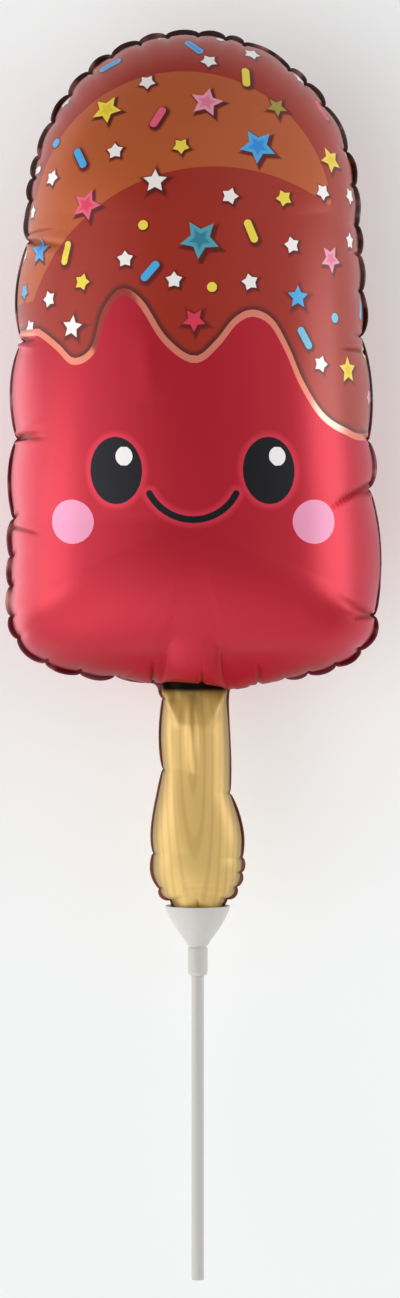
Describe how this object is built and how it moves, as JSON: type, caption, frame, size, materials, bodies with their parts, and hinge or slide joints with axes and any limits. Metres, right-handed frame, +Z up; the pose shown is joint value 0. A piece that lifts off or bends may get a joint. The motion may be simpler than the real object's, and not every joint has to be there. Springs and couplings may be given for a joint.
{
  "type": "ice lolly foil balloon on a stick",
  "caption": "Air-filled foil balloon in the shape of an ice lolly, with a puckered weld round its edge; its handle is pushed into a plastic cup on a tube stick. Lies face up.",
  "frame": {"origin": "middle of the bounding box, on the surface that the balloon's back lies on", "axes": "+X to the right as the printed face is looked at, +Y along the lolly from the stick to the round top, +Z up out of the face"},
  "size_m": [0.1504, 0.5, 0.1032],
  "materials": {
    "printed_foil": "metallised film, printed and glossy: raspberry red under a chocolate top with star sprinkles, tan on the handle",
    "cup_plastic": "moulded off-white plastic, satin",
    "stick_plastic": "extruded off-white plastic tube, satin"
  },
  "bodies": {
    "root": {"foil_balloon": "printed_foil", "holder_cup": "cup_plastic", "holder_stick": "stick_plastic"}
  },
  "joints": []
}
